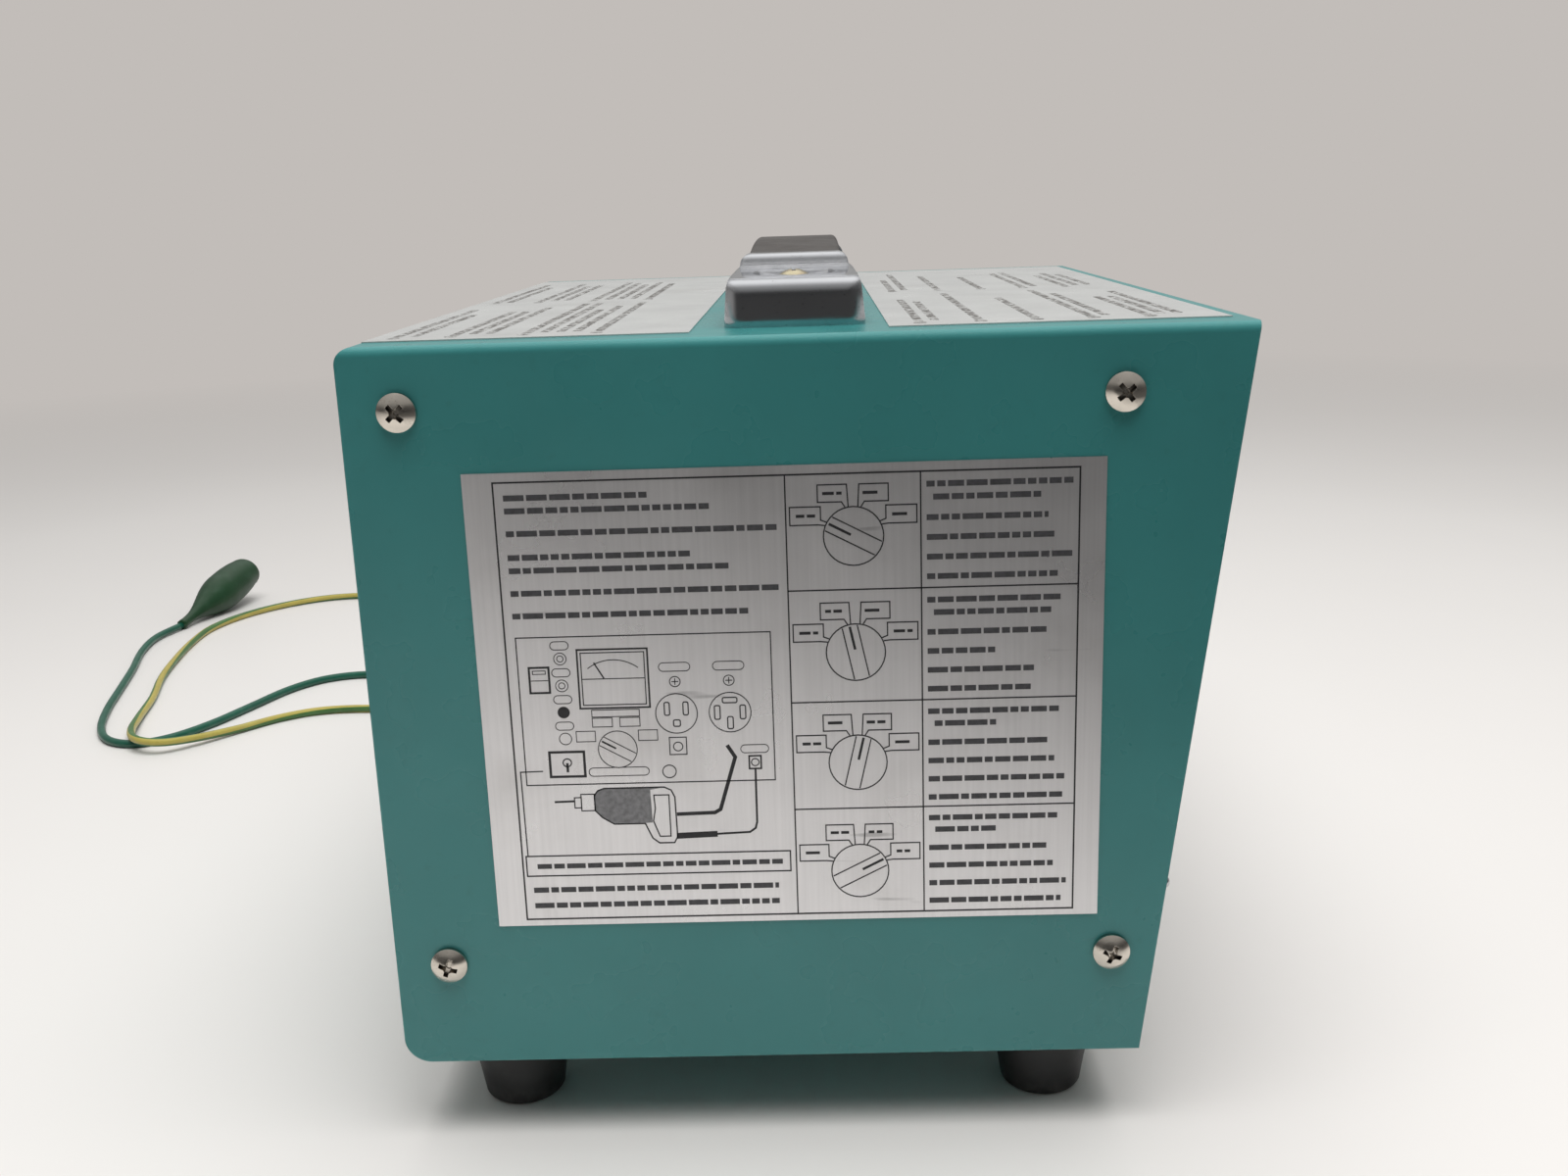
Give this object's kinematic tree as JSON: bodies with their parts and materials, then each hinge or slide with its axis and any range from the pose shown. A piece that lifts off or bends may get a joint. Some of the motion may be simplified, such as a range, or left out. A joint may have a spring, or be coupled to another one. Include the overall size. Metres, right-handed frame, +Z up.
{
  "type": "power tool tester",
  "caption": "Hooded sheet steel test set on rubber feet, with a strap handle, an instrument panel with a meter and outlets, and two earth leads with booted clips.",
  "frame": {"origin": "centre of the case's footprint, on the floor under the feet", "axes": "+Z up, -Y towards the operator in front of the panel, +X to the operator's right"},
  "size_m": [0.5583, 0.4724, 0.2166],
  "materials": {
    "teal_paint": "smooth satin enamel",
    "panel_aluminium": "brushed and anodised",
    "nickel": "nickel plated, a little dull",
    "zinc_steel": "zinc plated",
    "foot_rubber": "moulded, slightly glossy",
    "label_foil": "satin foil with dark print",
    "label_white": "laminated label",
    "handle_chrome": "bright chrome",
    "strap_vinyl": "grained black vinyl",
    "screw_brass": "yellow passivated",
    "black_gloss": "moulded",
    "black_matt": "moulded",
    "outlet_black": "moulded urea",
    "movement_metal": "turned",
    "dial_white": "printed card",
    "needle_black": "painted",
    "clear_window": "clear",
    "switch_chrome": "plated",
    "green_lens": "clear moulded",
    "red_lens": "clear moulded",
    "button_white": "moulded",
    "post_green": "moulded",
    "brass_plain": "turned",
    "board_green": "solder mask",
    "component_dark": "moulded",
    "transformer_iron": "varnished laminations",
    "cell_jacket": "jacketed cells",
    "loom_sleeve": "sleeved wire",
    "green_vinyl": "soft glossy vinyl",
    "striped_vinyl": "green and yellow striped vinyl"
  },
  "bodies": {
    "case": {"cover": "teal_paint", "chassis": "teal_paint", "battery_door": "teal_paint", "front_panel": "panel_aluminium", "cover_screws": "nickel", "panel_screws": "nickel", "earth_tab": "nickel", "lead_lugs": "nickel", "green_clip_frame": "nickel", "striped_clip_frame": "nickel", "hex_nuts": "zinc_steel", "door_screws": "zinc_steel", "foot_screws": "zinc_steel", "strap_core": "zinc_steel", "selector_switch": "zinc_steel", "clip_springs": "zinc_steel", "rubber_feet": "foot_rubber", "side_label": "label_foil", "top_labels": "label_white", "handle_caps": "handle_chrome", "handle_strap": "strap_vinyl", "handle_screws": "screw_brass", "meter_housing": "black_gloss", "rocker_frame": "black_matt", "fuse_holder": "black_matt", "toggle_plate": "black_matt", "battery_holder": "black_matt", "two_pole_outlet": "outlet_black", "three_pole_outlet": "outlet_black", "meter_movement": "movement_metal", "meter_dial": "dial_white", "meter_window": "clear_window", "lamp_bezels": "switch_chrome", "button_bodies": "switch_chrome", "toggle_switch": "switch_chrome", "ok_lamp_lens": "green_lens", "ng_lamp_lens": "red_lens", "earth_post": "post_green", "board_standoffs": "brass_plain", "circuit_board": "board_green", "board_parts": "component_dark", "transformer": "transformer_iron", "batteries": "cell_jacket", "wiring_loom": "loom_sleeve", "green_lead": "green_vinyl", "green_clip_boot": "green_vinyl", "striped_clip_boot": "green_vinyl", "striped_lead": "striped_vinyl"},
    "rocker": {"power_rocker": "black_gloss"},
    "start_cap": {"start_button": "black_matt"},
    "test_cap": {"test_button": "button_white"},
    "selector": {"selector_shaft": "zinc_steel", "selector_knob": "black_gloss"},
    "toggle": {"toggle_lever": "switch_chrome"},
    "needle": {"meter_needle": "needle_black"},
    "zero_screw": {"meter_zero_screw": "black_gloss"},
    "fuse_carrier": {"fuse_cap": "black_matt"},
    "post_cap": {"earth_post_cap": "post_green"},
    "green_jaw": {"green_clip_jaw": "nickel"},
    "striped_jaw": {"striped_clip_jaw": "nickel"}
  },
  "joints": [
    {"name": "rocker_tilt", "type": "hinge", "parent": "case", "child": "rocker", "pos_m": [-0.11186, -0.0785, 0.14775], "axis": [1, 0, 0], "range_deg": [-22, 0]},
    {"name": "start_press", "type": "slide", "parent": "case", "child": "start_cap", "axis": [0, 1, 0], "range_m": [0, 0.003], "stiffness_N_per_m": 300},
    {"name": "test_press", "type": "slide", "parent": "case", "child": "test_cap", "axis": [0, 1, 0], "range_m": [0, 0.003], "stiffness_N_per_m": 300},
    {"name": "selector_turn", "type": "hinge", "parent": "case", "child": "selector", "pos_m": [-0.03345, -0.0795, 0.06347], "axis": [0, 1, 0], "range_deg": [0, 120]},
    {"name": "toggle_flip", "type": "hinge", "parent": "case", "child": "toggle", "pos_m": [-0.08858, -0.0815, 0.04678], "axis": [1, 0, 0], "range_deg": [-26, 0]},
    {"name": "needle_swing", "type": "hinge", "parent": "case", "child": "needle", "pos_m": [-0.03345, -0.0878, 0.13975], "axis": [0, 1, 0], "range_deg": [0, 90], "stiffness_Nm_per_rad": 0.0005},
    {"name": "zero_adjust", "type": "hinge", "parent": "case", "child": "zero_screw", "pos_m": [-0.03345, -0.0915, 0.13119], "axis": [0, 1, 0], "range_deg": [-30, 30]},
    {"name": "fuse_turn", "type": "hinge", "parent": "case", "child": "fuse_carrier", "pos_m": [0.0206, -0.0795, 0.03537], "axis": [0, -1, 0], "range_deg": [0, 45]},
    {"name": "post_unscrew", "type": "hinge", "parent": "case", "child": "post_cap", "pos_m": [0.11293, -0.0852, 0.04415], "axis": [0, -1, 0], "range_deg": [0, 360]},
    {"name": "green_jaw_open", "type": "hinge", "parent": "case", "child": "green_jaw", "pos_m": [0.38985, 0.35174, 0.01111], "axis": [-0.2079, -0.9781, 0], "range_deg": [0, 10], "stiffness_Nm_per_rad": 0.01, "springref_deg": -5.73},
    {"name": "striped_jaw_open", "type": "hinge", "parent": "case", "child": "striped_jaw", "pos_m": [0.36939, 0.13401, 0.01111], "axis": [-0.9563, 0.2924, 0], "range_deg": [0, 10], "stiffness_Nm_per_rad": 0.01, "springref_deg": -5.73}
  ]
}
